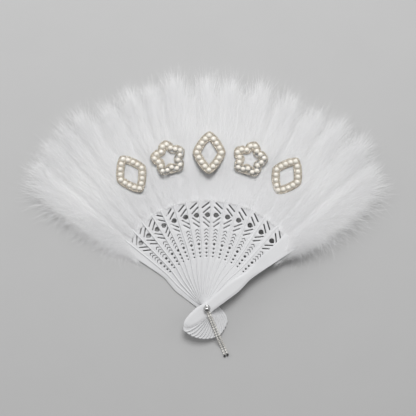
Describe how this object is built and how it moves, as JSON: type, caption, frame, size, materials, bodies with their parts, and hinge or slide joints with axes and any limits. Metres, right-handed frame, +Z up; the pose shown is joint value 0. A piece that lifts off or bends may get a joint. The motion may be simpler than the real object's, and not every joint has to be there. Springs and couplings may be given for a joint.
{
  "type": "feather fan",
  "caption": "Folding hand fan with pierced plastic sticks on a ball-headed rivet, fluffy white plumes, pearl motifs and a rhinestone tassel, lying open.",
  "frame": {"origin": "on the rivet's axis, at the flat underside of its back head, level with the table", "axes": "+X across the open fan to the right, +Y from the rivet to the middle feather tips, +Z up"},
  "size_m": [0.4652, 0.3668, 0.0347],
  "materials": {
    "stick_plastic": "satin",
    "feather_down": "matte",
    "link_ribbon": "satin",
    "pearl_patch": "gloss",
    "chrome": "polished",
    "rhinestone": "polished"
  },
  "bodies": {
    "back_guard": {"back_guard": "stick_plastic", "plume_01": "feather_down", "link_ribbon_01": "link_ribbon"},
    "rib_01": {"rib_01": "stick_plastic", "plume_02": "feather_down", "link_ribbon_02": "link_ribbon"},
    "rib_02": {"rib_02": "stick_plastic", "plume_03": "feather_down", "link_ribbon_03": "link_ribbon"},
    "rib_03": {"rib_03": "stick_plastic", "plume_04": "feather_down", "link_ribbon_04": "link_ribbon"},
    "rib_04": {"rib_04": "stick_plastic", "plume_05": "feather_down", "link_ribbon_05": "link_ribbon", "pearl_diamond_left": "pearl_patch"},
    "rib_05": {"rib_05": "stick_plastic", "plume_06": "feather_down", "link_ribbon_06": "link_ribbon"},
    "rib_06": {"rib_06": "stick_plastic", "plume_07": "feather_down", "link_ribbon_07": "link_ribbon", "pearl_flower_left": "pearl_patch"},
    "rib_07": {"rib_07": "stick_plastic", "plume_08": "feather_down", "link_ribbon_08": "link_ribbon"},
    "rib_08": {"rib_08": "stick_plastic", "plume_09": "feather_down", "link_ribbon_09": "link_ribbon", "pearl_diamond_middle": "pearl_patch"},
    "rib_09": {"rib_09": "stick_plastic", "plume_10": "feather_down", "link_ribbon_10": "link_ribbon"},
    "rib_10": {"rib_10": "stick_plastic", "plume_11": "feather_down", "link_ribbon_11": "link_ribbon", "pearl_flower_right": "pearl_patch"},
    "rib_11": {"rib_11": "stick_plastic", "plume_12": "feather_down", "link_ribbon_12": "link_ribbon"},
    "rib_12": {"rib_12": "stick_plastic", "plume_13": "feather_down", "link_ribbon_13": "link_ribbon", "pearl_diamond_right": "pearl_patch"},
    "rib_13": {"rib_13": "stick_plastic", "plume_14": "feather_down", "link_ribbon_14": "link_ribbon"},
    "rib_14": {"rib_14": "stick_plastic", "plume_15": "feather_down", "link_ribbon_15": "link_ribbon"},
    "front_guard": {"front_guard": "stick_plastic", "plume_16": "feather_down", "rivet_pin": "chrome", "rivet_washer": "chrome", "rivet_ball": "chrome"},
    "tassel": {"tassel_ring": "chrome", "tassel_strand_left": "rhinestone", "tassel_strand_right": "rhinestone"}
  },
  "joints": [
    {"name": "fold", "type": "hinge", "parent": "front_guard", "child": "back_guard", "pos_m": [0, 0, 0], "axis": [0, 0, -1], "range_deg": [0, 102.8], "deforming": ["plume_01", "plume_02", "plume_03", "plume_04", "plume_05", "plume_06", "plume_07", "plume_08", "plume_09", "plume_10", "plume_11", "plume_12", "plume_13", "plume_14", "plume_15", "plume_16"]},
    {"name": "rib_01_turn", "type": "hinge", "parent": "front_guard", "child": "rib_01", "pos_m": [0, 0, 0], "axis": [0, 0, -1], "range_deg": [0, 98.71]},
    {"name": "rib_02_turn", "type": "hinge", "parent": "front_guard", "child": "rib_02", "pos_m": [0, 0, 0], "axis": [0, 0, -1], "range_deg": [0, 92.01]},
    {"name": "rib_03_turn", "type": "hinge", "parent": "front_guard", "child": "rib_03", "pos_m": [0, 0, 0], "axis": [0, 0, -1], "range_deg": [0, 85.21]},
    {"name": "rib_04_turn", "type": "hinge", "parent": "front_guard", "child": "rib_04", "pos_m": [0, 0, 0], "axis": [0, 0, -1], "range_deg": [0, 78.71]},
    {"name": "rib_05_turn", "type": "hinge", "parent": "front_guard", "child": "rib_05", "pos_m": [0, 0, 0], "axis": [0, 0, -1], "range_deg": [0, 73.21]},
    {"name": "rib_06_turn", "type": "hinge", "parent": "front_guard", "child": "rib_06", "pos_m": [0, 0, 0], "axis": [0, 0, -1], "range_deg": [0, 65.71]},
    {"name": "rib_07_turn", "type": "hinge", "parent": "front_guard", "child": "rib_07", "pos_m": [0, 0, 0], "axis": [0, 0, -1], "range_deg": [0, 58.81]},
    {"name": "rib_08_turn", "type": "hinge", "parent": "front_guard", "child": "rib_08", "pos_m": [0, 0, 0], "axis": [0, 0, -1], "range_deg": [0, 51.91]},
    {"name": "rib_09_turn", "type": "hinge", "parent": "front_guard", "child": "rib_09", "pos_m": [0, 0, 0], "axis": [0, 0, -1], "range_deg": [0, 44.91]},
    {"name": "rib_10_turn", "type": "hinge", "parent": "front_guard", "child": "rib_10", "pos_m": [0, 0, 0], "axis": [0, 0, -1], "range_deg": [0, 37.71]},
    {"name": "rib_11_turn", "type": "hinge", "parent": "front_guard", "child": "rib_11", "pos_m": [0, 0, 0], "axis": [0, 0, -1], "range_deg": [0, 30.61]},
    {"name": "rib_12_turn", "type": "hinge", "parent": "front_guard", "child": "rib_12", "pos_m": [0, 0, 0], "axis": [0, 0, -1], "range_deg": [0, 23.01]},
    {"name": "rib_13_turn", "type": "hinge", "parent": "front_guard", "child": "rib_13", "pos_m": [0, 0, 0], "axis": [0, 0, -1], "range_deg": [0, 15.01]},
    {"name": "rib_14_turn", "type": "hinge", "parent": "front_guard", "child": "rib_14", "pos_m": [0, 0, 0], "axis": [0, 0, -1], "range_deg": [0, 6.61]},
    {"name": "tassel_swing", "type": "hinge", "parent": "front_guard", "child": "tassel", "pos_m": [0, 0, 0], "axis": [0, 0, 1], "range_deg": [-10, 58]}
  ],
  "couplings": [
    {"joint": "rib_01_turn", "follows": "fold", "ratio": 0.96012},
    {"joint": "rib_02_turn", "follows": "fold", "ratio": 0.89494},
    {"joint": "rib_03_turn", "follows": "fold", "ratio": 0.82879},
    {"joint": "rib_04_turn", "follows": "fold", "ratio": 0.76556},
    {"joint": "rib_05_turn", "follows": "fold", "ratio": 0.71206},
    {"joint": "rib_06_turn", "follows": "fold", "ratio": 0.63911},
    {"joint": "rib_07_turn", "follows": "fold", "ratio": 0.57198},
    {"joint": "rib_08_turn", "follows": "fold", "ratio": 0.50486},
    {"joint": "rib_09_turn", "follows": "fold", "ratio": 0.43677},
    {"joint": "rib_10_turn", "follows": "fold", "ratio": 0.36673},
    {"joint": "rib_11_turn", "follows": "fold", "ratio": 0.29767},
    {"joint": "rib_12_turn", "follows": "fold", "ratio": 0.22373},
    {"joint": "rib_13_turn", "follows": "fold", "ratio": 0.14591},
    {"joint": "rib_14_turn", "follows": "fold", "ratio": 0.064202}
  ]
}
